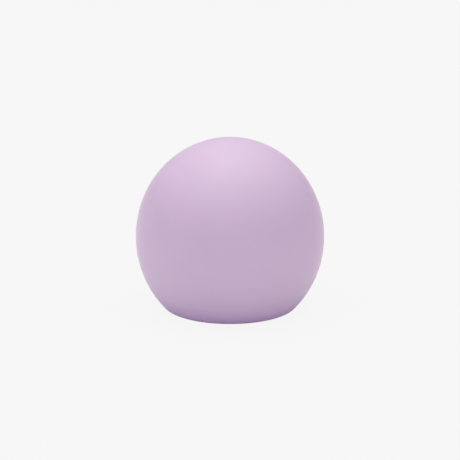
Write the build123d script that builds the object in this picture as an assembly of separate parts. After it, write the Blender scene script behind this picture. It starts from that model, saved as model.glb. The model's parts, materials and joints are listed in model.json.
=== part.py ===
from build123d import *
import math
import os

os.makedirs("parts", exist_ok=True)

# A floating pool light: a one-piece ball that twists and lifts off a sealed lamp module.
# Millimetres, +Z up, origin on the floor under the centre of the ball.
# Pairs such as SPAN_X or (X0, X1) are low and high ends; heights named *_Z0 and *_Z1 are too.

# ---- shared ----
RUN = 0.05               # radial clearance of a running fit
BITE = 0.5               # how far joined volumes of one piece reach into each other
OVER = 1.0               # how far a cut runs past the face that it opens
FLOOR = 0.0
LOW = (Align.CENTER, Align.CENTER, Align.MIN)

# ---- ball ----
BALL_R = 75.0            # widest radius
BALL_C = 79.2            # vertical half axis
BALL_Z = 57.5            # height of the widest section
UNDERSIDE_Z = 1.0        # the flat underside stands this far above the floor, on the feet
WALL = 2.2
CORNER_R = 4.3           # rounded edge between the ball and its flat underside

# ---- collar inside the ball's mouth ----
COLLAR_R = 48.4          # mouth of the ball
COLLAR_IN = 46.0
COLLAR_TOP = 18.0
COLLAR_CHAMFER = 0.6
FLANGE_R = 50.2
FLANGE_T = 1.8
COLLAR_RIBS = 18
RIB_DEPTH = 2.2
RIB_WIDTH = 1.2
RIB_HEIGHT = 8.0
RIB_R = COLLAR_R + 0.4   # radius of the ribs' centres

# ---- bayonet joint between the collar and the base ----
LUG_IN = 43.6
LUG_Z0 = 7.05
LUG_Z1 = 10.5
LUG_HALF = 6.0           # degrees
LUG_ANGLES = (90.0, 210.0, 330.0)
TWIST = 30.0             # degrees from open to locked
SLOT_R = 43.2
SLOT_HALF = 7.2          # degrees
TRACK_Z0 = 7.0
TRACK_Z1 = 10.9
ORING_R = 44.95
ORING_T = 1.0
ORING_Z = 4.0
GROOVE_HALF = 1.15

# ---- base cap ----
CAP_R = 45.7
CAP_IN = 40.5
CAP_CHAMFER = 0.5
FLOOR_TOP = 4.2
RIM_TOP = 20.0
BALLAST_R = 39.9
BALLAST_IN = 31.2
BALLAST_TOP = 12.2
BALLAST_CHAMFER = 0.3
BALLAST_NOTCH_R = 3.6    # room for the screw bosses
PAD_R = 5.0
PAD_T = 1.8
PAD_EDGE = 0.4
PAD_PCD = 37.5
QUARTERS = (0.0, 90.0, 180.0, 270.0)

# ---- the four long screws that hold the module together ----
SCREW_PCD = 37.0
SCREW_ANGLES = (45.0, 135.0, 225.0, 315.0)
SCREW_R = 1.45
SCREW_HEAD_R = 2.7
SCREW_HEAD_H = 1.9
SCREW_TIP_Z = 9.0
SCREW_CLEAR_R = 1.7
SCREW_BOSS_R = 3.2
COVER_BOSS_R = 3.8
SCREW_SINK_R = 3.0
SCREW_SINK_Z = 46.3
SEAL_WASHER_T = 0.6
PILOT_R = 1.5
PILOT_Z0 = 8.0

# ---- chassis and cover ----
CHASSIS_Z0 = 20.0
CHASSIS_Z1 = 22.0
CHASSIS_R = 40.0
CHASSIS_LEG_R = 2.6
CHASSIS_LEG_PCD = 35.8
CHASSIS_LEG_ANGLES = (20.0, 110.0, 200.0, 290.0)
CHASSIS_PORTHOLES = ((-9.0, -9.0), (9.0, -9.0))
CHASSIS_PORTHOLE_R = 5.0
LEAD_NOTCH = (34.6, 45.0, -4.5, 4.5)
COVER_R = 43.0
COVER_Z0 = 20.8
COVER_TOP = 49.0
COVER_PLATE = 3.0
COVER_EDGE_R = 2.4
COOLING_GROOVES = 36
GROOVE_R = 0.7
GROOVE_Z0 = 27.0
GROOVE_Z1 = 41.0

# ---- lens ----
LENS_R = 27.5
LENS_H = 15.5
LENS_T = 2.0
LENS_FLANGE_R = 30.4
LENS_FLANGE_T = 2.0
LENS_SEAL_R = 29.0
LENS_SEAL_T = 0.65
LENS_SEAL_Z = 48.35
SEAL_GROOVE_HALF = 0.8
SEAL_GROOVE_Z0 = 47.7
RING_R = 33.9
RING_H = 3.6
RING_EDGE_R = 1.0
RING_SCREW_PCD = 32.2
RING_SINK_Z = 2.6        # above the ring's underside
RING_SINK_R = 1.6
SMALL_PILOT_R = 0.95
SMALL_PILOT_Z0 = 46.8
SMALL_CLEAR_R = 1.1
SMALL_SCREW_TIP_Z = 47.0

# ---- light ----
LED_BOARD_R = 23.5
LED_BOARD_Z = 50.5
LED_BOARD_T = 1.6
LED_TOP = LED_BOARD_Z + LED_BOARD_T
LED_SCREW_PCD = 21.2
LED_SCREW_ANGLES = (30.0, 150.0, 270.0)
LED_RINGS = ((9, 15.5, 10.0), (4, 7.6, 45.0))    # count, radius, first angle
LED_SIZE = 5.0
LED_H = 1.5
LED_WELL_R = 2.0
LED_WELL_D = 0.3
RECEIVER_H = 4.6
RECEIVER_R = 2.0

# ---- main board ----
BOARD_R = 28.0
BOARD_Z = 14.0
BOARD_T = 1.6
BOARD_TOP = BOARD_Z + BOARD_T
BOARD_HOLE_R = 1.2
BOARD_NOTCH_X = -26.6    # floor of the keying notch in the board's edge
BOARD_NOTCH_HALF = 5.0
POSTS = ((21.5, 13.0), (-21.5, 13.0), (-21.5, -13.0), (21.5, -13.0))
POST_R = 3.0
POST_PILOT_R = 1.05
DRIVER_X = (-11.0, -4.5, 2.0)
CAPACITOR_PLACES = ((-12.5, -14.5), (-6.8, -19.5), (13.0, -10.5))
CAPACITOR_R = 2.4
CAPACITOR_H = 4.0
RIBBON_Y = 19.0
RIBBON_X = (-1.8, -0.6, 0.6, 1.8)
WIRE_R = 0.65
RIBBON_SLOT = (-4.0, 4.0, RIBBON_Y - 1.5, RIBBON_Y + 1.5)
PLUG_H = 3.0

# ---- battery ----
CELL_R = 9.2
CELL_L = 65.0
CELL_Z = 32.5
CELL_GAP = 0.1
CELL_EDGE = 0.6
TAB_T = 0.4
TAB_Z = 22.7             # underside of the tab that runs back under the cell
STRAP_X = (-20.0, 20.0)
STRAP_HALF = 2.5
STRAP_T = 1.2
STRAP_Y = 16.5
STRAP_Z = 28.0
STRAP_FOOT_T = 1.3
STRAP_SCREW_Y = 13.6
LEAD_R = 0.7
LEAD_Y = 2.2
LEAD_X = 36.8            # the leads go down past the chassis here
LEAD_Z = 17.8
LEAD_END_X = 24.2

# ---- charging port and its cover ----
PORT_Y = 21.5
PORT_W = 8.94
PORT_H = 3.26
PORT_WALL = 0.3
PORT_Z0 = 4.6
PORT_GAP = 0.2
TONGUE_Z0 = 5.4
TONGUE_Z1 = 13.0
TONGUE_BASE_Z = 11.0
PORT_SEAL_Z0 = 7.0
PORT_SEAL_Z1 = 8.6
FLAP_Y = 16.6            # hinge line of the port cover
FLAP_Z = 2.65
FLAP_END = 27.3
FLAP_HALF = 10.1
FLAP_Z0 = 1.25
FLAP_Z1 = 2.75
FLAP_KNUCKLE_R = 1.4
FLAP_PLUG = (11.4, 5.6, 4.1)                     # width, depth, top
FLAP_POCKET = (-10.5, 10.5, 14.9, 27.7)
FLAP_HOUSING = (-11.5, 11.5, 13.4, 28.5)
FLAP_HOUSING_TOP = 7.0
PIN_R = 0.75
PIN_HALF = 12.0
SCOOP_Y = 29.2
SCOOP_Z = 0.2
SCOOP_R = 2.6

# ---- power button and its switch ----
BUTTON_Y = -22.3
BUTTON_R = 6.0
BUTTON_Z0 = 1.4
BUTTON_Z1 = 3.8
BUTTON_DISH_R = 19.6
BUTTON_DISH_Z = -17.6
BUTTON_GAP = 0.3
BUTTON_HOUSING_R = 8.0
BUTTON_HOUSING_TOP = 9.0
STEM_R = 2.5
STEM_NECK_R = 1.9
STEM_TOP = 9.85
CLIP_R = 4.0
CLIP_Z0 = 8.65
CLIP_Z1 = 9.25
CLIP_GAP_HALF = 1.2
RETAINER_Z0 = 4.9
RETAINER_Z1 = 8.6
RETAINER_WELL_R = 4.05
RETAINER_WELL_Z1 = 6.5
BUTTON_SEAL_R = 3.3
BUTTON_SEAL_T = 0.75
BUTTON_SEAL_Z = 5.75
SWITCH_HALF = 3.1
SWITCH_Z0 = 10.5
SWITCH_WELL_Z1 = 12.8
PLUNGER_R = 1.75
PLUNGER_Z0 = 9.9
PLUNGER_Z1 = 12.0

# ---- indicator ----
PIPE_X = 17.0
PIPE_Y = -17.0
PIPE_R = 1.5
PIPE_Z0 = 1.2
PIPE_Z1 = 12.6
PIPE_COLLAR_R = 2.4
PIPE_COLLAR_T = 0.8
PIPE_BOSS_R = 2.7
PIPE_BOSS_TOP = 7.0
INDICATOR_Z0 = 13.0

# ---- tether ring ----
BAIL_Y = 9.4             # hinge line
BAIL_Z = 3.1
BAIL_X = 11.5
BAIL_R = 1.25
BAIL_END = 17.0
BAIL_BENDS = (2.4, 6.0, 6.0, 2.4)
BAIL_POCKET = (-15.0, 15.0, -12.6, 12.0)
BAIL_POCKET_TOP = 5.2
BAIL_POCKET_R = 3.0
BAIL_HOUSING = (-17.0, 17.0, -13.6, 14.0)
BAIL_HOUSING_TOP = 7.4


# ---- shapes used more than once ----
def cyl(r, z0, z1, x=0.0, y=0.0):
    return Pos(x, y, z0) * Cylinder(r, z1 - z0, align=LOW)


def tube(r_out, r_in, z0, z1, x=0.0, y=0.0):
    return cyl(r_out, z0, z1, x, y) - cyl(r_in, z0 - OVER, z1 + OVER, x, y)


def block(x0, x1, y0, y1, z0, z1):
    return Pos((x0 + x1) / 2, (y0 + y1) / 2, z0) * Box(x1 - x0, y1 - y0, z1 - z0, align=LOW)


def on_board(x, y, length, width, height):
    return Pos(x, y, BOARD_TOP) * Box(length, width, height, align=LOW)


def polar(radius, degrees):
    a = math.radians(degrees)
    return radius * math.cos(a), radius * math.sin(a)


def round_pattern(radius, angles):
    return [polar(radius, a) for a in angles]


def sector(r_out, r_in, a0, a1, z0, z1):
    outer = CenterArc((0, 0), r_out, a0, a1 - a0)
    inner = CenterArc((0, 0), r_in, a0, a1 - a0)
    face = make_face(Curve() + [outer, Line(outer @ 1, inner @ 1), inner, Line(inner @ 0, outer @ 0)])
    return Pos(0, 0, z0) * extrude(face, amount=z1 - z0, dir=(0, 0, 1))


def ring(major, minor, z, x=0.0, y=0.0):
    return Pos(x, y, z) * Torus(major, minor)


def stadium(width, height, z0, z1, x=0.0, y=0.0):
    return Pos(x, y, z0) * extrude(SlotOverall(width, height), amount=z1 - z0)


def rod_x(r, x0, x1, y, z):
    return Pos((x0 + x1) / 2, y, z) * Rot(0, 90, 0) * Cylinder(r, x1 - x0)


def wire(points, radii, r):
    path = FilletPolyline(*points, radius=radii)
    start = Plane(origin=path @ 0, z_dir=path % 0)
    return sweep(start * Circle(r), path=path)


def rounded_rim(body, radius, top=True):
    """Rounds the edges of the body's highest or lowest face."""
    return fillet(body.edges().group_by(Axis.Z)[-1 if top else 0], radius)


def screw(x, y, head_z, head_h, head_r, shank_r, tip_z):
    """A pan-head screw that points down, with a cross recess."""
    body = rounded_rim(cyl(head_r, head_z, head_z + head_h, x, y), head_h * 0.4)
    body += cyl(shank_r, tip_z, head_z, x, y)
    arm = head_r * 0.55
    half = arm * 0.22
    recess_z = head_z + head_h * 0.45
    top = head_z + head_h + OVER
    body -= block(x - arm, x + arm, y - half, y + half, recess_z, top)
    return body - block(x - half, x + half, y - arm, y + arm, recess_z, top)


def save(node, shape):
    solids = shape.solids()
    if len(solids) > 1:
        shape = Compound(children=[Solid(s.wrapped) for s in solids])
    shape.label = node
    export_step(shape, "parts/" + node + ".step")


# ---- the ball ----
def ball_solid(a, c, floor_z, corner):
    section = Pos(0, BALL_Z) * Ellipse(a, c)
    section &= Pos(0, floor_z) * Rectangle(2 * a, 3 * c, align=(Align.MIN, Align.MIN))
    edge = [v for v in section.vertices() if abs(v.Y - floor_z) < 0.01 and v.X > 1.0]
    section = fillet(edge, corner)
    return revolve(Plane.XZ * section, Axis.Z)


def diffuser_shell():
    body = ball_solid(BALL_R, BALL_C, UNDERSIDE_Z, CORNER_R)
    body -= ball_solid(BALL_R - WALL, BALL_C - WALL, UNDERSIDE_Z + WALL, CORNER_R - WALL)
    return body - cyl(COLLAR_R, FLOOR, UNDERSIDE_Z + WALL + OVER)


def shell_collar():
    body = tube(COLLAR_R, COLLAR_IN, UNDERSIDE_Z, COLLAR_TOP)
    body = chamfer(body.edges().group_by(Axis.Z)[-1], COLLAR_CHAMFER)
    seat = UNDERSIDE_Z + WALL
    body += tube(FLANGE_R, COLLAR_R - BITE, seat, seat + FLANGE_T)
    for a in LUG_ANGLES:
        body += sector(COLLAR_IN + BITE, LUG_IN, a - LUG_HALF, a + LUG_HALF, LUG_Z0, LUG_Z1)
    for k in range(COLLAR_RIBS):
        a = 360.0 * k / COLLAR_RIBS
        x, y = polar(RIB_R, a)
        rib = Box(RIB_DEPTH, RIB_WIDTH, RIB_HEIGHT, align=LOW)
        body += Pos(x, y, seat + FLANGE_T) * Rot(0, 0, a) * rib
    return body


def shell_seal():
    return ring(ORING_R, ORING_T, ORING_Z)


# ---- the base ----
def base_walls():
    body = cyl(CAP_R, UNDERSIDE_Z, FLOOR_TOP)
    body = chamfer(body.edges().group_by(Axis.Z)[0], CAP_CHAMFER)
    body += tube(CAP_R, CAP_IN, FLOOR_TOP, RIM_TOP)
    for x, y in round_pattern(SCREW_PCD, SCREW_ANGLES):
        body += cyl(SCREW_BOSS_R, FLOOR_TOP, RIM_TOP, x, y)
    for x, y in POSTS:
        body += cyl(POST_R, FLOOR_TOP, BOARD_Z, x, y)
    body += block(*BAIL_HOUSING, FLOOR_TOP, BAIL_HOUSING_TOP)
    body += block(*FLAP_HOUSING, FLOOR_TOP, FLAP_HOUSING_TOP)
    body += cyl(BUTTON_HOUSING_R, FLOOR_TOP, BUTTON_HOUSING_TOP, 0, BUTTON_Y)
    return body + cyl(PIPE_BOSS_R, FLOOR_TOP, PIPE_BOSS_TOP, PIPE_X, PIPE_Y)


def bayonet_cuts():
    cuts = tube(CAP_R + OVER, ORING_R - ORING_T, ORING_Z - GROOVE_HALF, ORING_Z + GROOVE_HALF)
    for a in LUG_ANGLES:
        start = a - SLOT_HALF
        cuts += sector(CAP_R + OVER, SLOT_R, start, a + SLOT_HALF, TRACK_Z0, RIM_TOP + OVER)
        cuts += sector(CAP_R + OVER, SLOT_R, start, a + TWIST + SLOT_HALF, TRACK_Z0, TRACK_Z1)
    return cuts


def screw_pilots():
    places = round_pattern(SCREW_PCD, SCREW_ANGLES)
    pilots = [cyl(PILOT_R, PILOT_Z0, RIM_TOP + OVER, x, y) for x, y in places]
    return pilots + [cyl(POST_PILOT_R, PILOT_Z0, BOARD_Z + OVER, x, y) for x, y in POSTS]


def base_cap():
    below = UNDERSIDE_Z - OVER
    body = base_walls() - bayonet_cuts()
    body -= screw_pilots()
    pocket = block(*BAIL_POCKET, below, BAIL_POCKET_TOP)
    body -= fillet(pocket.edges().filter_by(Axis.Z), BAIL_POCKET_R)
    body -= rod_x(BAIL_R + RUN, -BAIL_END, BAIL_END, BAIL_Y, BAIL_Z)
    pocket = block(*FLAP_POCKET, below, FLOOR_TOP)
    body -= fillet(pocket.edges().filter_by(Axis.Z), 1.0)
    body -= stadium(PORT_W + 2 * PORT_GAP, PORT_H + 2 * PORT_GAP, FLOOR_TOP - OVER, 9.0, 0, PORT_Y)
    body -= rod_x(PIN_R, -PIN_HALF, PIN_HALF, FLAP_Y, FLAP_Z)
    body -= cyl(BUTTON_R + BUTTON_GAP, below, BUTTON_HOUSING_TOP + OVER, 0, BUTTON_Y)
    body -= cyl(PIPE_R, below, PIPE_BOSS_TOP + OVER, PIPE_X, PIPE_Y)
    for x, y in round_pattern(PAD_PCD, QUARTERS):
        body -= cyl(PAD_R, below, PAD_T, x, y)
    # a scoop that lets a fingertip lift the port cover
    return body - Pos(0, SCOOP_Y, SCOOP_Z) * Sphere(SCOOP_R)


def foot_pads():
    pads = [cyl(PAD_R, FLOOR, PAD_T, x, y) for x, y in round_pattern(PAD_PCD, QUARTERS)]
    return Compound(children=[rounded_rim(pad, PAD_EDGE, top=False) for pad in pads])


def ballast_ring():
    body = tube(BALLAST_R, BALLAST_IN, FLOOR_TOP, BALLAST_TOP)
    for x, y in round_pattern(SCREW_PCD, SCREW_ANGLES):
        body -= cyl(BALLAST_NOTCH_R, FLOOR_TOP - OVER, BALLAST_TOP + OVER, x, y)
    return chamfer(body.edges().filter_by(GeomType.CIRCLE).group_by(Axis.Z)[-1], BALLAST_CHAMFER)


def tether_ring():
    points = (
        (-BAIL_END, BAIL_Y, BAIL_Z),
        (-BAIL_X, BAIL_Y, BAIL_Z),
        (-BAIL_X, -BAIL_Y, BAIL_Z),
        (BAIL_X, -BAIL_Y, BAIL_Z),
        (BAIL_X, BAIL_Y, BAIL_Z),
        (BAIL_END, BAIL_Y, BAIL_Z),
    )
    return wire(points, BAIL_BENDS, BAIL_R)


# ---- charging port ----
def port_cover():
    body = block(-FLAP_HALF, FLAP_HALF, FLAP_Y, FLAP_END, FLAP_Z0, FLAP_Z1)
    body = fillet(body.edges().filter_by(Axis.Z).group_by(Axis.Y)[-1], 1.2)
    body += rod_x(FLAP_KNUCKLE_R, -FLAP_HALF, FLAP_HALF, FLAP_Y, FLAP_Z)
    width, depth, top = FLAP_PLUG
    body += rounded_rim(stadium(width, depth, FLAP_Z1, top, 0, PORT_Y), 0.4)
    return body - rod_x(PIN_R + RUN, -FLAP_HALF - OVER, FLAP_HALF + OVER, FLAP_Y, FLAP_Z)


def port_hinge_pin():
    return rod_x(PIN_R, -PIN_HALF, PIN_HALF, FLAP_Y, FLAP_Z)


def charge_port_shell():
    body = stadium(PORT_W, PORT_H, PORT_Z0, BOARD_Z, 0, PORT_Y)
    inner_w = PORT_W - 2 * PORT_WALL
    inner_h = PORT_H - 2 * PORT_WALL
    return body - stadium(inner_w, inner_h, PORT_Z0 - OVER, TONGUE_Z1, 0, PORT_Y)


def charge_port_tongue():
    body = block(-3.35, 3.35, PORT_Y - 0.35, PORT_Y + 0.35, TONGUE_Z0, TONGUE_Z1)
    return body + stadium(PORT_W - 0.7, PORT_H - 0.7, TONGUE_BASE_Z, TONGUE_Z1, 0, PORT_Y)


def port_seal():
    body = stadium(PORT_W + 3.4, PORT_H + 3.4, PORT_SEAL_Z0, PORT_SEAL_Z1, 0, PORT_Y)
    return body - stadium(PORT_W, PORT_H, PORT_SEAL_Z0 - OVER, PORT_SEAL_Z1 + OVER, 0, PORT_Y)


# ---- power button ----
def power_button():
    body = rounded_rim(cyl(BUTTON_R, BUTTON_Z0, BUTTON_Z1, 0, BUTTON_Y), 0.6, top=False)
    body -= Pos(0, BUTTON_Y, BUTTON_DISH_Z) * Sphere(BUTTON_DISH_R)
    body += cyl(STEM_R, BUTTON_Z1 - 0.2, CLIP_Z0, 0, BUTTON_Y)
    body += cyl(STEM_NECK_R, CLIP_Z0 - RUN, CLIP_Z1 + RUN, 0, BUTTON_Y)
    return body + cyl(STEM_R, CLIP_Z1, STEM_TOP, 0, BUTTON_Y)


def button_clip():
    body = tube(CLIP_R, STEM_NECK_R, CLIP_Z0, CLIP_Z1, 0, BUTTON_Y)
    gap = (-CLIP_GAP_HALF, CLIP_GAP_HALF, BUTTON_Y, BUTTON_Y + CLIP_R + OVER)
    return body - block(*gap, CLIP_Z0 - OVER, CLIP_Z1 + OVER)


def button_retainer():
    body = cyl(BUTTON_R + BUTTON_GAP, RETAINER_Z0, RETAINER_Z1, 0, BUTTON_Y)
    body -= cyl(RETAINER_WELL_R, RETAINER_Z0 - OVER, RETAINER_WELL_Z1, 0, BUTTON_Y)
    return body - cyl(STEM_R + RUN, RETAINER_Z0 - OVER, RETAINER_Z1 + OVER, 0, BUTTON_Y)


def button_seal():
    return ring(BUTTON_SEAL_R, BUTTON_SEAL_T, BUTTON_SEAL_Z, 0, BUTTON_Y)


def switch_body():
    y0, y1 = BUTTON_Y - SWITCH_HALF, BUTTON_Y + SWITCH_HALF
    body = block(-SWITCH_HALF, SWITCH_HALF, y0, y1, SWITCH_Z0, BOARD_Z)
    return body - cyl(PLUNGER_R + RUN, SWITCH_Z0 - OVER, SWITCH_WELL_Z1, 0, BUTTON_Y)


def switch_plunger():
    return cyl(PLUNGER_R, PLUNGER_Z0, PLUNGER_Z1, 0, BUTTON_Y)


def indicator_light_pipe():
    body = cyl(PIPE_R, PIPE_Z0, PIPE_Z1, PIPE_X, PIPE_Y)
    return body + cyl(PIPE_COLLAR_R, PIPE_BOSS_TOP, PIPE_BOSS_TOP + PIPE_COLLAR_T, PIPE_X, PIPE_Y)


def indicator_led():
    return Pos(PIPE_X, PIPE_Y, INDICATOR_Z0) * Box(3.2, 1.8, BOARD_Z - INDICATOR_Z0, align=LOW)


# ---- main board ----
def main_board():
    body = cyl(BOARD_R, BOARD_Z, BOARD_TOP)
    for x, y in POSTS:
        body -= cyl(BOARD_HOLE_R, BOARD_Z - OVER, BOARD_TOP + OVER, x, y)
    notch = (-BOARD_R - OVER, BOARD_NOTCH_X, -BOARD_NOTCH_HALF, BOARD_NOTCH_HALF)
    return body - block(*notch, BOARD_Z - OVER, BOARD_TOP + OVER)


def board_screws():
    return Compound(children=[screw(x, y, BOARD_TOP, 1.4, 2.0, 1.0, 9.0) for x, y in POSTS])


def control_chip():
    return on_board(0, -9, 7, 7, 1.0)


def driver_chips():
    return Compound(children=[on_board(x, 11, 3.8, 4.8, 1.4) for x in DRIVER_X])


def coil():
    return fillet(on_board(-13, -4.5, 7, 7, 3.6).edges().filter_by(Axis.Z), 1.2)


def capacitors():
    cans = []
    for x, y in CAPACITOR_PLACES:
        can = on_board(x, y, 5.2, 5.2, 0.7)
        can += cyl(CAPACITOR_R, BOARD_TOP + 0.7, BOARD_TOP + CAPACITOR_H, x, y)
        cans.append(rounded_rim(can, 0.3))
    return Compound(children=cans)


def led_header():
    return on_board(0, RIBBON_Y, 10, 4, PLUG_H)


def led_ribbon():
    body = cyl(WIRE_R, BOARD_TOP + PLUG_H, LED_BOARD_Z, RIBBON_X[0], RIBBON_Y)
    for x in RIBBON_X[1:]:
        body += cyl(WIRE_R, BOARD_TOP + PLUG_H, LED_BOARD_Z, x, RIBBON_Y)
    return body


def battery_header():
    body = on_board(18.25, 0, 5.5, 8.6, 3.8)
    return body - block(17.0, 22.0, -3.5, 3.5, BOARD_TOP + 0.6, BOARD_TOP + 5.0)


def battery_plug():
    return block(17.0, LEAD_END_X, -3.4, 3.4, BOARD_TOP + 0.6, BOARD_TOP + 0.6 + PLUG_H)


# ---- battery ----
def battery_cell():
    body = rod_x(CELL_R - CELL_GAP, -CELL_L / 2, CELL_L / 2, 0, CELL_Z)
    return chamfer(body.edges().filter_by(GeomType.CIRCLE), CELL_EDGE)


def battery_tabs():
    end = CELL_L / 2
    plus = block(end, end + TAB_T, -3.5, 3.5, CELL_Z - 4, CELL_Z + 4)
    minus = block(-end - TAB_T, -end, -3.0, 3.0, TAB_Z, CELL_Z + 4)
    minus += block(-end - TAB_T, end - 2.3, -3.0, 3.0, TAB_Z, TAB_Z + TAB_T)
    return Compound(children=[plus, minus])


def battery_lead(start_x, y, z, bend):
    points = ((start_x, y, z), (LEAD_X, y, z), (LEAD_X, y, LEAD_Z), (LEAD_END_X, y, LEAD_Z))
    return wire(points, (bend, bend), LEAD_R)


def battery_lead_red():
    return battery_lead(CELL_L / 2 + TAB_T, LEAD_Y, CELL_Z, 3.0)


def battery_lead_black():
    return battery_lead(CELL_L / 2 - 2.3, -LEAD_Y, TAB_Z + TAB_T / 2, 2.4)


def chassis():
    body = cyl(CHASSIS_R, CHASSIS_Z0, CHASSIS_Z1)
    for x in STRAP_X:
        body += block(x - STRAP_HALF, x + STRAP_HALF, -STRAP_Y, STRAP_Y, CHASSIS_Z1, STRAP_Z)
    for x, y in round_pattern(CHASSIS_LEG_PCD, CHASSIS_LEG_ANGLES):
        body += cyl(CHASSIS_LEG_R, BALLAST_TOP, CHASSIS_Z0 + BITE, x, y)
    below, above = CHASSIS_Z0 - OVER, CHASSIS_Z1 + OVER
    body -= rod_x(CELL_R + CELL_GAP, -CHASSIS_R, CHASSIS_R, 0, CELL_Z)
    body -= block(-CHASSIS_R - OVER, 31.0, -3.4, 3.4, CHASSIS_Z1, 23.6)
    body -= block(*LEAD_NOTCH, below, above)
    body -= block(-6.5, 6.5, RIBBON_Y - 2.6, RIBBON_Y + 2.6, below, above)
    for x, y in CHASSIS_PORTHOLES:
        body -= cyl(CHASSIS_PORTHOLE_R, below, above, x, y)
    for x, y in round_pattern(SCREW_PCD, SCREW_ANGLES):
        body -= cyl(SCREW_CLEAR_R, below, above, x, y)
    for x in STRAP_X:
        for y in (-STRAP_SCREW_Y, STRAP_SCREW_Y):
            body -= cyl(1.0, 23.5, STRAP_Z + OVER, x, y)
    return body


def battery_strap(x):
    x0, x1 = x - STRAP_HALF, x + STRAP_HALF
    arch = rod_x(CELL_R + CELL_GAP + STRAP_T, x0, x1, 0, CELL_Z)
    arch += block(x0, x1, -STRAP_Y, STRAP_Y, STRAP_Z, STRAP_Z + STRAP_FOOT_T)
    arch -= rod_x(CELL_R + CELL_GAP, x0 - OVER, x1 + OVER, 0, CELL_Z)
    arch &= block(x0, x1, -STRAP_Y, STRAP_Y, STRAP_Z, CELL_Z + 2 * CELL_R)
    for y in (-STRAP_SCREW_Y, STRAP_SCREW_Y):
        arch -= cyl(SMALL_CLEAR_R, STRAP_Z - OVER, STRAP_Z + STRAP_FOOT_T + OVER, x, y)
    return arch


def battery_straps():
    return Compound(children=[battery_strap(x) for x in STRAP_X])


def strap_screws():
    places = [(x, y) for x in STRAP_X for y in (-STRAP_SCREW_Y, STRAP_SCREW_Y)]
    head_z = STRAP_Z + STRAP_FOOT_T
    return Compound(children=[screw(x, y, head_z, 1.4, 1.9, 0.95, 24.0) for x, y in places])


# ---- cover ----
def cover_gasket():
    return tube(COVER_R, CAP_IN + 0.4, RIM_TOP, COVER_Z0)


def module_cover():
    body = rounded_rim(cyl(COVER_R, COVER_Z0, COVER_TOP), COVER_EDGE_R)
    body -= cyl(CAP_IN, COVER_Z0 - OVER, COVER_TOP - COVER_PLATE)
    long_screws = round_pattern(SCREW_PCD, SCREW_ANGLES)
    for x, y in long_screws:
        body += cyl(COVER_BOSS_R, CHASSIS_Z1, COVER_TOP - 1.0, x, y)
    above = COVER_TOP + OVER
    for x, y in long_screws:
        body -= cyl(SCREW_CLEAR_R, CHASSIS_Z1 - OVER, above, x, y)
        body -= cyl(SCREW_SINK_R, SCREW_SINK_Z, above, x, y)
    groove = (LENS_SEAL_R + SEAL_GROOVE_HALF, LENS_SEAL_R - SEAL_GROOVE_HALF)
    body -= tube(*groove, SEAL_GROOVE_Z0, above)
    body -= block(*RIBBON_SLOT, COVER_TOP - COVER_PLATE - OVER, above)
    small_screws = round_pattern(RING_SCREW_PCD, QUARTERS) + round_pattern(LED_SCREW_PCD, LED_SCREW_ANGLES)
    for x, y in small_screws:
        body -= cyl(SMALL_PILOT_R, SMALL_PILOT_Z0, above, x, y)
    # cooling grooves around the lower wall
    for k in range(COOLING_GROOVES):
        x, y = polar(COVER_R, 360.0 * (k + 0.5) / COOLING_GROOVES)
        body -= cyl(GROOVE_R, GROOVE_Z0, GROOVE_Z1, x, y)
    return body


def cover_screws():
    size = (SCREW_HEAD_H, SCREW_HEAD_R, SCREW_R, SCREW_TIP_Z)
    head_z = SCREW_SINK_Z + SEAL_WASHER_T
    places = round_pattern(SCREW_PCD, SCREW_ANGLES)
    return Compound(children=[screw(x, y, head_z, *size) for x, y in places])


def screw_seals():
    top = SCREW_SINK_Z + SEAL_WASHER_T
    places = round_pattern(SCREW_PCD, SCREW_ANGLES)
    return Compound(children=[tube(2.8, 1.6, SCREW_SINK_Z, top, x, y) for x, y in places])


# ---- lens ----
def lens_seal():
    return ring(LENS_SEAL_R, LENS_SEAL_T, LENS_SEAL_Z)


def lens_dome():
    """A spherical cap on a flat flange, hollow underneath."""
    top = COVER_TOP + LENS_FLANGE_T
    dome_r = (LENS_R ** 2 + LENS_H ** 2) / (2 * LENS_H)
    centre = top + LENS_H - dome_r
    body = Pos(0, 0, centre) * Sphere(dome_r)
    body &= cyl(LENS_R, top - LENS_FLANGE_T, top + LENS_H + OVER)
    body += cyl(LENS_FLANGE_R, COVER_TOP, top)
    bore = math.sqrt((dome_r - LENS_T) ** 2 - (top - centre) ** 2)
    hollow = Pos(0, 0, centre) * Sphere(dome_r - LENS_T)
    hollow &= cyl(LENS_R, top, top + LENS_H)
    return body - hollow - cyl(bore, COVER_TOP - OVER, top)


def lens_ring():
    above = COVER_TOP + RING_H + OVER
    body = rounded_rim(cyl(RING_R, COVER_TOP, COVER_TOP + RING_H), RING_EDGE_R)
    body -= cyl(LENS_FLANGE_R + 0.2, COVER_TOP - OVER, COVER_TOP + LENS_FLANGE_T)
    body -= cyl(LENS_R + 0.7, COVER_TOP, above)
    for x, y in round_pattern(RING_SCREW_PCD, QUARTERS):
        body -= cyl(1.0, COVER_TOP - OVER, above, x, y)
        body -= cyl(RING_SINK_R, COVER_TOP + RING_SINK_Z, above, x, y)
    return body


def lens_ring_screws():
    head_z = COVER_TOP + RING_SINK_Z
    places = round_pattern(RING_SCREW_PCD, QUARTERS)
    return Compound(children=[screw(x, y, head_z, 0.9, 1.5, 0.9, SMALL_SCREW_TIP_Z) for x, y in places])


# ---- light ----
def led_screw_holes():
    below, above = COVER_TOP - OVER, LED_TOP + OVER
    places = round_pattern(LED_SCREW_PCD, LED_SCREW_ANGLES)
    return [cyl(SMALL_CLEAR_R, below, above, x, y) for x, y in places]


def heat_spreader():
    body = cyl(LED_BOARD_R + 0.3, COVER_TOP, LED_BOARD_Z)
    body -= block(*RIBBON_SLOT, COVER_TOP - OVER, LED_BOARD_Z + OVER)
    return body - led_screw_holes()


def led_board():
    return cyl(LED_BOARD_R, LED_BOARD_Z, LED_TOP) - led_screw_holes()


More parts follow.
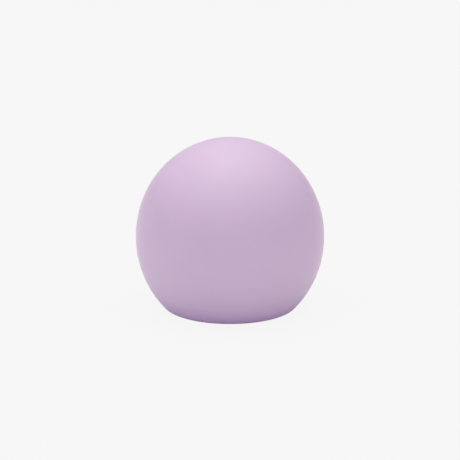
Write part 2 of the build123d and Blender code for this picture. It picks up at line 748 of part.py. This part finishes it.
def led_board_screws():
    places = round_pattern(LED_SCREW_PCD, LED_SCREW_ANGLES)
    return Compound(children=[screw(x, y, LED_TOP, 1.2, 1.8, 0.9, SMALL_SCREW_TIP_Z) for x, y in places])


def led_chips():
    chips = []
    for count, radius, phase in LED_RINGS:
        for k in range(count):
            a = phase + 360.0 * k / count
            x, y = polar(radius, a)
            chip = Pos(x, y, LED_TOP) * Rot(0, 0, a) * Box(LED_SIZE, LED_SIZE, LED_H, align=LOW)
            chips.append(chip - cyl(LED_WELL_R, LED_TOP + LED_H - LED_WELL_D, LED_TOP + LED_H + OVER, x, y))
    return Compound(children=chips)


def ir_receiver():
    body = Pos(0, 0, LED_TOP) * Box(5.6, 4.8, RECEIVER_H, align=LOW)
    return body + Pos(0, 0, LED_TOP + RECEIVER_H) * Sphere(RECEIVER_R)


NODES = (
    diffuser_shell, shell_collar, shell_seal, base_cap, foot_pads, ballast_ring, tether_ring,
    port_cover, port_hinge_pin, charge_port_shell, charge_port_tongue, port_seal, power_button,
    button_clip, button_retainer, button_seal, switch_body, switch_plunger, indicator_light_pipe,
    indicator_led, main_board, board_screws, control_chip, driver_chips, coil, capacitors,
    led_header, led_ribbon, battery_header, battery_plug, battery_cell, battery_tabs,
    battery_lead_red, battery_lead_black, chassis, battery_straps, strap_screws, cover_gasket,
    module_cover, cover_screws, screw_seals, lens_seal, lens_dome, lens_ring, lens_ring_screws,
    heat_spreader, led_board, led_board_screws, led_chips, ir_receiver,
)

for make in NODES:
    save(make.__name__, make())
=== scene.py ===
import json
import math

import bmesh
import bpy
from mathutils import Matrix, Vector


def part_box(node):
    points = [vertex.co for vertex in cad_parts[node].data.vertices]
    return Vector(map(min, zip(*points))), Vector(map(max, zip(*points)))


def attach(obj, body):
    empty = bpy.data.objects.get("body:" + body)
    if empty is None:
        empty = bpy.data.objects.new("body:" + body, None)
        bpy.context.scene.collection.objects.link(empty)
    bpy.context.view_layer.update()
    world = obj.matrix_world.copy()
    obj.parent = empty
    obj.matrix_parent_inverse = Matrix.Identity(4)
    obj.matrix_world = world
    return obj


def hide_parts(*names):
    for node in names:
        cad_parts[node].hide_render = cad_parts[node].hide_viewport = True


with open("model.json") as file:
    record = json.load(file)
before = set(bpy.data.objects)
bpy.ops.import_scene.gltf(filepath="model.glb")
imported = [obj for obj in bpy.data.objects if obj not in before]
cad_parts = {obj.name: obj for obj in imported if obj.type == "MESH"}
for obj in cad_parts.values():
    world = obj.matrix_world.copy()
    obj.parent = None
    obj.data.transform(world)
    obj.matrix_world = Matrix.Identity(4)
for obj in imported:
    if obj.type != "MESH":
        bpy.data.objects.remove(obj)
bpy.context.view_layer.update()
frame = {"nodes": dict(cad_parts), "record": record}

NODES = frame["nodes"]
MM = 0.001

# ---------------------------------------------------------------- the ball's size
ball_lo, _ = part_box("diffuser_shell")
BALL_R = 75.0 * MM      # at the widest section
BALL_C = 79.2 * MM      # half the vertical axis
BALL_Z = 57.5 * MM      # height of the centre
UNDER_Z = ball_lo[2]
WALL = 2.2 * MM
CORNER_R = 4.3 * MM     # rounding between the side and the flat underside
MOUTH_R = 48.4 * MM
MOUTH_EASE = 0.35 * MM  # bevel on the mouth's lower edge

# How finely the ball is divided: round it, along its corner, and up its outer and inner face.
TURNS = 240
CORNER_STEPS = 12
OUTER_STEPS = 110
INNER_STEPS = 80
CORNER_SEARCH = (0.2, 1.5)  # radians up from the lowest point
HALVINGS = 60
NEAR_AXIS = 1e-7

# Edges sharper than this many degrees stay crisp.
BALL_SHARP = 40
CAD_SHARP = 28


# ---------------------------------------------------------------- node helpers
MIX_COLOURS = (6, 7)    # the Mix node's two colour inputs
MIX_RESULT = 2          # and its colour output
WHITE_LIGHT = (1.0, 1.0, 1.0)


def new_material(name):
    mat = bpy.data.materials.new(name)
    mat.use_nodes = True
    tree = mat.node_tree
    shader = tree.nodes["Principled BSDF"]
    coords = tree.nodes.new("ShaderNodeTexCoord")
    return mat, tree, shader, coords


def noise(tree, coords, scale, detail=4.0, rough=0.55, stretch=None):
    node = tree.nodes.new("ShaderNodeTexNoise")
    node.inputs["Scale"].default_value = scale
    node.inputs["Detail"].default_value = detail
    node.inputs["Roughness"].default_value = rough
    source = coords.outputs["Object"]
    if stretch:
        mapping = tree.nodes.new("ShaderNodeMapping")
        mapping.inputs["Scale"].default_value = stretch
        tree.links.new(source, mapping.inputs["Vector"])
        source = mapping.outputs["Vector"]
    tree.links.new(source, node.inputs["Vector"])
    return node.outputs["Fac"]


def remap(tree, value, low, high, start=0.3, end=0.7):
    node = tree.nodes.new("ShaderNodeMapRange")
    node.inputs["From Min"].default_value = start
    node.inputs["From Max"].default_value = end
    node.inputs["To Min"].default_value = low
    node.inputs["To Max"].default_value = high
    tree.links.new(value, node.inputs["Value"])
    return node.outputs["Result"]


def mix_colour(tree, factor, a, b):
    node = tree.nodes.new("ShaderNodeMix")
    node.data_type = "RGBA"
    tree.links.new(factor, node.inputs["Factor"])
    for socket, value in zip(MIX_COLOURS, (a, b)):
        if isinstance(value, bpy.types.NodeSocket):
            tree.links.new(value, node.inputs[socket])
        else:
            node.inputs[socket].default_value = (*value, 1.0)
    return node.outputs[MIX_RESULT]


def bump(tree, height, strength, distance, under=None):
    node = tree.nodes.new("ShaderNodeBump")
    node.inputs["Strength"].default_value = strength
    node.inputs["Distance"].default_value = distance
    tree.links.new(height, node.inputs["Height"])
    if under is not None:
        tree.links.new(under, node.inputs["Normal"])
    return node.outputs["Normal"]


def tinted(colour, k):
    return tuple(max(0.0, min(1.0, c * k)) for c in colour)


def moulded(name, colour, rough=0.45, grain=900.0, relief=0.12, vary=0.05, sss=0.0, coat=0.0):
    """Moulded plastic: faint flow marks in the colour, a fine moulded grain and a broad unevenness."""
    mat, tree, shader, coords = new_material(name)
    broad = noise(tree, coords, 28.0, 3.0)
    fine = noise(tree, coords, grain, 6.0, 0.6)
    dark = tinted(colour, 1.0 - vary)
    light = tinted(colour, 1.0 + vary)
    base = mix_colour(tree, remap(tree, broad, 0.0, 1.0), dark, light)
    tree.links.new(base, shader.inputs["Base Color"])
    tree.links.new(remap(tree, fine, rough - 0.06, rough + 0.08), shader.inputs["Roughness"])
    wave = bump(tree, broad, 0.05, 0.002)
    tree.links.new(bump(tree, fine, relief, 0.0002, wave), shader.inputs["Normal"])
    if sss:
        shader.inputs["Subsurface Weight"].default_value = sss
        shader.inputs["Subsurface Radius"].default_value = (1.0, 0.8, 0.9)
        shader.inputs["Subsurface Scale"].default_value = 0.002
    if coat:
        shader.inputs["Coat Weight"].default_value = coat
        shader.inputs["Coat Roughness"].default_value = 0.15
    return mat


def metal(name, colour, rough=0.3, stretch=(1.0, 1.0, 1.0), scale=600.0, relief=0.08):
    """Bare or plated metal: fine directional scratches in roughness and relief, faint cloudy tint."""
    mat, tree, shader, coords = new_material(name)
    shader.inputs["Metallic"].default_value = 1.0
    streaks = noise(tree, coords, scale, 5.0, 0.6, stretch)
    clouds = noise(tree, coords, 60.0, 3.0)
    base = mix_colour(tree, remap(tree, clouds, 0.0, 1.0), tinted(colour, 0.88), tinted(colour, 1.06))
    tree.links.new(base, shader.inputs["Base Color"])
    tree.links.new(remap(tree, streaks, rough - 0.08, rough + 0.14), shader.inputs["Roughness"])
    tree.links.new(bump(tree, streaks, relief, 0.0001), shader.inputs["Normal"])
    return mat


def rubber(name, colour, rough=0.62):
    """Rubber: matt, slightly dusty, with a soft fine texture."""
    mat, tree, shader, coords = new_material(name)
    dust = noise(tree, coords, 90.0, 6.0, 0.7)
    fine = noise(tree, coords, 1400.0, 4.0)
    base = mix_colour(tree, remap(tree, dust, 0.0, 1.0, 0.4, 0.8), colour, tinted(colour, 1.6))
    tree.links.new(base, shader.inputs["Base Color"])
    tree.links.new(remap(tree, dust, rough - 0.08, rough + 0.12), shader.inputs["Roughness"])
    tree.links.new(bump(tree, fine, 0.2, 0.0002), shader.inputs["Normal"])
    return mat


# ---------------------------------------------------------------- the ball's material
LILAC = (0.542, 0.396, 0.598)
# Painted shade near the floor: the next two values darken the ball's colour and turn it more violet over
# its lowest 22 mm.
PAINTED_FOOT_SHADE = (0.98, 0.93, 1.08)
PAINTED_FOOT_SHADE_TOP = 22.0 * MM


def ball_material():
    """Lilac polyethylene: a satin moulded skin with a fine grain, faint cloudiness in the wall and a
    soft glow under the surface."""
    mat, tree, shader, coords = new_material("lilac_polyethylene")
    cloud = noise(tree, coords, 16.0, 3.0, 0.5)
    mottle = noise(tree, coords, 120.0, 4.0, 0.6)
    grain = noise(tree, coords, 1500.0, 5.0, 0.6)
    pale = mix_colour(tree, remap(tree, cloud, 0.0, 1.0), tinted(LILAC, 0.985), tinted(LILAC, 1.015))
    speckled_and_shaded = mix_colour(tree, remap(tree, mottle, 0.0, 0.35, 0.45, 0.75), pale, tinted(LILAC, 1.03))
    # painted shade: the colour turns a little darker and more violet towards the foot, where the floor
    # shades the ball
    height = tree.nodes.new("ShaderNodeSeparateXYZ")
    tree.links.new(coords.outputs["Object"], height.inputs["Vector"])
    foot_shade_mask = remap(tree, height.outputs["Z"], 1.0, 0.0, 0.0, PAINTED_FOOT_SHADE_TOP)
    shaded_lilac = tuple(c * k for c, k in zip(LILAC, PAINTED_FOOT_SHADE))
    speckled_and_shaded = mix_colour(tree, foot_shade_mask, speckled_and_shaded, shaded_lilac)
    tree.links.new(speckled_and_shaded, shader.inputs["Base Color"])
    tree.links.new(remap(tree, mottle, 0.44, 0.54), shader.inputs["Roughness"])
    skin = bump(tree, mottle, 0.03, 0.0006)
    tree.links.new(bump(tree, grain, 0.10, 0.00012, skin), shader.inputs["Normal"])
    shader.inputs["Subsurface Weight"].default_value = 0.18
    shader.inputs["Subsurface Radius"].default_value = (1.0, 0.7, 1.0)
    shader.inputs["Subsurface Scale"].default_value = 0.0015
    shader.inputs["Specular IOR Level"].default_value = 1.0
    shader.inputs["Sheen Weight"].default_value = 0.25
    shader.inputs["Sheen Roughness"].default_value = 0.25
    return mat


# ---------------------------------------------------------------- the ball's mesh
def ball_profile(a, c, flat_z, corner, steps):
    """Points from the flat underside round the corner and up to the top, as (radius, height)."""
    def on_side(t):
        """A point on the side and its outward normal, t radians up from the lowest point."""
        p = Vector((a * math.sin(t), BALL_Z - c * math.cos(t)))
        n = Vector((math.sin(t) / a, -math.cos(t) / c)).normalized()
        return p, n

    # find where a circle that touches the flat underside also touches the side
    low, high = CORNER_SEARCH
    for _ in range(HALVINGS):
        mid = (low + high) / 2
        p, n = on_side(mid)
        if (p - n * corner).y < flat_z + corner:
            low = mid
        else:
            high = mid
    p, n = on_side(low)
    centre = p - n * corner
    end = math.atan2(n.y, n.x)
    points = []
    for i in range(CORNER_STEPS + 1):
        angle = -math.pi / 2 + (end + math.pi / 2) * i / CORNER_STEPS
        points.append((centre.x + corner * math.cos(angle), centre.y + corner * math.sin(angle)))
    for i in range(1, steps + 1):
        t = low + (math.pi - low) * i / steps
        q, _ = on_side(t)
        points.append((max(q.x, 0.0), q.y))
    return points


def object_from(bm, name):
    """Turns the bmesh into a linked object and frees it."""
    mesh = bpy.data.meshes.new(name)
    bm.to_mesh(mesh)
    bm.free()
    obj = bpy.data.objects.new(name, mesh)
    bpy.context.scene.collection.objects.link(obj)
    return obj


def smooth(mesh, sharp_degrees):
    for poly in mesh.polygons:
        poly.use_smooth = True
    mesh.set_sharp_from_angle(angle=math.radians(sharp_degrees))


def lathe(name, rings):
    """Revolves a closed profile given as (radius, height) pairs; a radius of 0 becomes one point."""
    bm = bmesh.new()
    angles = [2 * math.pi * k / TURNS for k in range(TURNS)]
    loops = []
    for r, z in rings:
        if r < NEAR_AXIS:
            loops.append([bm.verts.new((0, 0, z))])
        else:
            loops.append([bm.verts.new((r * math.cos(t), r * math.sin(t), z)) for t in angles])
    for first, second in zip(loops, loops[1:] + loops[:1]):
        for k in range(TURNS):
            m = (k + 1) % TURNS
            if len(first) == 1 and len(second) == 1:
                continue
            if len(first) == 1:
                bm.faces.new((first[0], second[m], second[k]))
            elif len(second) == 1:
                bm.faces.new((first[k], first[m], second[0]))
            else:
                bm.faces.new((first[k], first[m], second[m], second[k]))
    bmesh.ops.recalc_face_normals(bm, faces=bm.faces)
    obj = object_from(bm, name)
    smooth(obj.data, BALL_SHARP)
    return obj


def make_ball():
    outer = ball_profile(BALL_R, BALL_C, UNDER_Z, CORNER_R, OUTER_STEPS)
    inner = ball_profile(BALL_R - WALL, BALL_C - WALL, UNDER_Z + WALL, CORNER_R - WALL, INNER_STEPS)
    rings = [(MOUTH_R, UNDER_Z + MOUTH_EASE), (MOUTH_R + MOUTH_EASE, UNDER_Z)] + outer
    rings += list(reversed(inner)) + [(MOUTH_R, UNDER_Z + WALL)]
    obj = lathe("ball", rings)
    obj.data.materials.append(ball_material())
    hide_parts("diffuser_shell")
    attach(obj, "shell")
    return obj


ball = make_ball()

# ---------------------------------------------------------------- finishes for the CAD pieces
finishes = {
    "collar_white": moulded("collar_white_pe", (0.74, 0.70, 0.76), rough=0.42, sss=0.1),
    "seal_black": rubber("black_seal_rubber", (0.022, 0.022, 0.024)),
    "seal_clear": rubber("milky_seal_silicone", (0.55, 0.55, 0.53), rough=0.45),
    "white_abs": moulded(
        "white_module_plastic", (0.80, 0.79, 0.78), rough=0.40, relief=0.16, vary=0.02),
    "grey_abs": moulded(
        "grey_glass_filled_plastic", (0.17, 0.17, 0.185), rough=0.52, relief=0.25, vary=0.10),
    "black_plastic": moulded("black_nylon", (0.018, 0.018, 0.020), rough=0.48, relief=0.2, vary=0.15),
    "zinc_steel": metal("zinc_plated_steel", (0.56, 0.57, 0.58), rough=0.36, stretch=(1.0, 1.0, 8.0)),
    "stainless": metal(
        "stainless_steel", (0.63, 0.62, 0.60), rough=0.24, stretch=(1.0, 1.0, 6.0), scale=900.0,
        relief=0.05),
    "aluminium": metal("milled_aluminium", (0.74, 0.75, 0.77), rough=0.30, stretch=(12.0, 1.0, 1.0)),
    "chip_black": moulded(
        "chip_epoxy", (0.014, 0.014, 0.016), rough=0.55, grain=2200.0, relief=0.3, vary=0.2),
    "nickel": metal("nickel_plate", (0.60, 0.58, 0.53), rough=0.22, stretch=(1.0, 6.0, 1.0)),
    "lead_red": rubber("red_lead_silicone", (0.42, 0.012, 0.010), rough=0.45),
    "lead_black": rubber("black_lead_silicone", (0.016, 0.016, 0.016), rough=0.45),
    "ribbon_grey": rubber("grey_lead_silicone", (0.26, 0.27, 0.29), rough=0.45),
    "board_green": moulded(
        "green_solder_mask", (0.010, 0.085, 0.035), rough=0.28, grain=500.0, relief=0.15, vary=0.12,
        coat=0.4),
    "board_white": moulded(
        "white_solder_mask", (0.78, 0.78, 0.75), rough=0.30, grain=500.0, relief=0.10, vary=0.02,
        coat=0.3),
    "led_white": moulded(
        "led_phosphor", (0.80, 0.72, 0.34), rough=0.25, grain=1500.0, relief=0.05, vary=0.04, coat=0.6),
    "cell_wrap": moulded(
        "blue_cell_sleeve", (0.012, 0.055, 0.19), rough=0.22, grain=300.0, relief=0.06, vary=0.06,
        coat=0.5),
    "clear_pc": moulded(
        "clear_light_pipe", (0.62, 0.68, 0.68), rough=0.12, grain=300.0, relief=0.03, vary=0.02,
        coat=0.8),
    "frosted_pc": moulded(
        "frosted_polycarbonate", (0.84, 0.86, 0.88), rough=0.34, grain=1200.0, relief=0.10, vary=0.015,
        sss=0.3, coat=0.2),
    "lilac_shell": ball.data.materials[0],
}

slot_of = {part["node"]: part.get("material_slot", part["node"]) for part in frame["record"]["subparts"]}
for node, obj in NODES.items():
    finish = finishes.get(slot_of.get(node))
    if finish is None or not obj.material_slots:
        continue
    for entry in obj.material_slots:
        entry.material = finish
    smooth(obj.data, CAD_SHARP)


# ---------------------------------------------------------------- floor
ROOM_R = 8.0            # the floor and the backdrop stay inside every view's clipping distance
BACKDROP_R = 0.98 * ROOM_R
BOARD_R = 40.0
BOARD_DROP = 0.2 * MM
FLOOR_GLOW = 0.8915
FLOOR_ALBEDO = 0.03
BACKDROP_GLOW = 0.930
UNSEEN_BY_LIGHT = ("visible_diffuse", "visible_glossy", "visible_transmission", "visible_shadow")


def matt_material(name, dark, light):
    """A surface with no gloss and a faint, broad unevenness between two greys."""
    mat, tree, shader, coords = new_material(name)
    haze = noise(tree, coords, 3.0, 2.0)
    even = mix_colour(tree, remap(tree, haze, 0.0, 1.0), (dark,) * 3, (light,) * 3)
    tree.links.new(even, shader.inputs["Base Color"])
    shader.inputs["Roughness"].default_value = 1.0
    shader.inputs["Specular IOR Level"].default_value = 0.0
    return mat, tree, shader


def backdrop_material(name, glow, albedo):
    """Pale studio surface: mostly its own even light, so that only a faint shadow shows. It is clear
    from behind, so that the floor doesn't hide the underside from below."""
    mat, tree, shader = matt_material(name, albedo * 0.985, albedo * 1.015)
    shader.inputs["Emission Color"].default_value = (*WHITE_LIGHT, 1.0)
    shader.inputs["Emission Strength"].default_value = glow
    clear = tree.nodes.new("ShaderNodeBsdfTransparent")
    facing = tree.nodes.new("ShaderNodeNewGeometry")
    blend = tree.nodes.new("ShaderNodeMixShader")
    tree.links.new(facing.outputs["Backfacing"], blend.inputs["Fac"])
    tree.links.new(shader.outputs["BSDF"], blend.inputs[1])
    tree.links.new(clear.outputs["BSDF"], blend.inputs[2])
    tree.links.new(blend.outputs["Shader"], tree.nodes["Material Output"].inputs["Surface"])
    return mat


def disc(name, radius, material):
    bm = bmesh.new()
    bmesh.ops.create_circle(bm, cap_ends=True, segments=96, radius=radius)
    obj = object_from(bm, name)
    obj.data.materials.append(material)
    return obj


def make_floor():
    """The floor and backdrop that are seen stay even and pale. A white board just below the floor, which
    the camera doesn't see, throws the studio's light back up at the ball."""
    seen = disc("floor", ROOM_R, backdrop_material("studio_floor", FLOOR_GLOW, FLOOR_ALBEDO))
    board = disc("floor_bounce", BOARD_R, matt_material("bounce_board", 0.83, 0.85)[0])
    board.location.z = -BOARD_DROP
    board.visible_camera = False
    board.visible_shadow = False
    bm = bmesh.new()
    bmesh.ops.create_uvsphere(bm, u_segments=64, v_segments=32, radius=BACKDROP_R)
    bmesh.ops.reverse_faces(bm, faces=bm.faces)
    wall = object_from(bm, "backdrop")
    wall.data.materials.append(backdrop_material("studio_backdrop", BACKDROP_GLOW, 0.0))
    for obj in (seen, wall):
        for flag in UNSEEN_BY_LIGHT:
            setattr(obj, flag, False)


make_floor()


# ---------------------------------------------------------------- world and lights
# The studio's light as brightness by direction: an even part and a lean towards each axis.
EVEN = 0.09
LEAN = (-0.11, -0.01, 1.69)
TINT_TOP = (1.0, 0.99, 0.90)
TOP_FOCUS = 4.0         # how narrowly the overhead tint gathers round the zenith
SOFTBOX_Z = 1.2
SOFTBOX_SIZE = 0.9
SOFTBOX_WATTS = 1.53


def math_node(tree, operation, value, number):
    node = tree.nodes.new("ShaderNodeMath")
    node.operation = operation
    tree.links.new(value, node.inputs[0])
    node.inputs[1].default_value = number
    return node.outputs["Value"]


def make_world():
    world = bpy.data.worlds.new("studio")
    bpy.context.scene.world = world
    world.use_nodes = True
    tree = world.node_tree
    back = tree.nodes["Background"]
    direction = tree.nodes.new("ShaderNodeTexCoord").outputs["Generated"]
    lean = tree.nodes.new("ShaderNodeVectorMath")
    lean.operation = "DOT_PRODUCT"
    lean.inputs[1].default_value = LEAN
    tree.links.new(direction, lean.inputs[0])
    brightness = math_node(tree, "ADD", lean.outputs["Value"], EVEN)
    tree.links.new(math_node(tree, "MAXIMUM", brightness, 0.0), back.inputs["Strength"])
    split = tree.nodes.new("ShaderNodeSeparateXYZ")
    tree.links.new(direction, split.inputs["Vector"])
    upward = math_node(tree, "MAXIMUM", split.outputs["Z"], 0.0)
    overhead = math_node(tree, "POWER", upward, TOP_FOCUS)
    tree.links.new(mix_colour(tree, overhead, WHITE_LIGHT, TINT_TOP), back.inputs["Color"])


def make_softbox():
    """A soft round light straight above the ball, aimed at its centre."""
    light = bpy.data.lights.new("top_softbox", "AREA")
    light.shape = "DISK"
    light.size = SOFTBOX_SIZE
    light.energy = SOFTBOX_WATTS
    light.color = TINT_TOP
    obj = bpy.data.objects.new("top_softbox", light)
    bpy.context.scene.collection.objects.link(obj)
    obj.location = (0.0, 0.0, SOFTBOX_Z)
    aim = Vector((0.0, 0.0, BALL_Z - SOFTBOX_Z))
    obj.rotation_euler = aim.to_track_quat("-Z", "Y").to_euler()
    obj.visible_camera = False


make_world()
make_softbox()


# ---------------------------------------------------------------- camera
CAMERA_DISTANCE = 12.0 * BALL_R
CAMERA_TILT = math.radians(14.0)
LENS = 88.2
SENSOR_WIDTH = 36.0
SHIFT_Y = 0.0137


def make_camera():
    cam = bpy.data.cameras.new("camera")
    cam.lens = LENS
    cam.sensor_width = SENSOR_WIDTH
    cam.shift_y = SHIFT_Y
    cam.clip_start = 0.01
    cam.clip_end = 100.0
    obj = bpy.data.objects.new("camera", cam)
    bpy.context.scene.collection.objects.link(obj)
    back = CAMERA_DISTANCE * math.cos(CAMERA_TILT)
    up = CAMERA_DISTANCE * math.sin(CAMERA_TILT)
    obj.location = (0.0, -back, BALL_Z + up)
    obj.rotation_euler = (math.pi / 2 - CAMERA_TILT, 0.0, 0.0)
    bpy.context.scene.camera = obj


make_camera()
bpy.context.scene.view_settings.view_transform = "Standard"
bpy.context.scene.view_settings.look = "None"

bpy.context.view_layer.update()
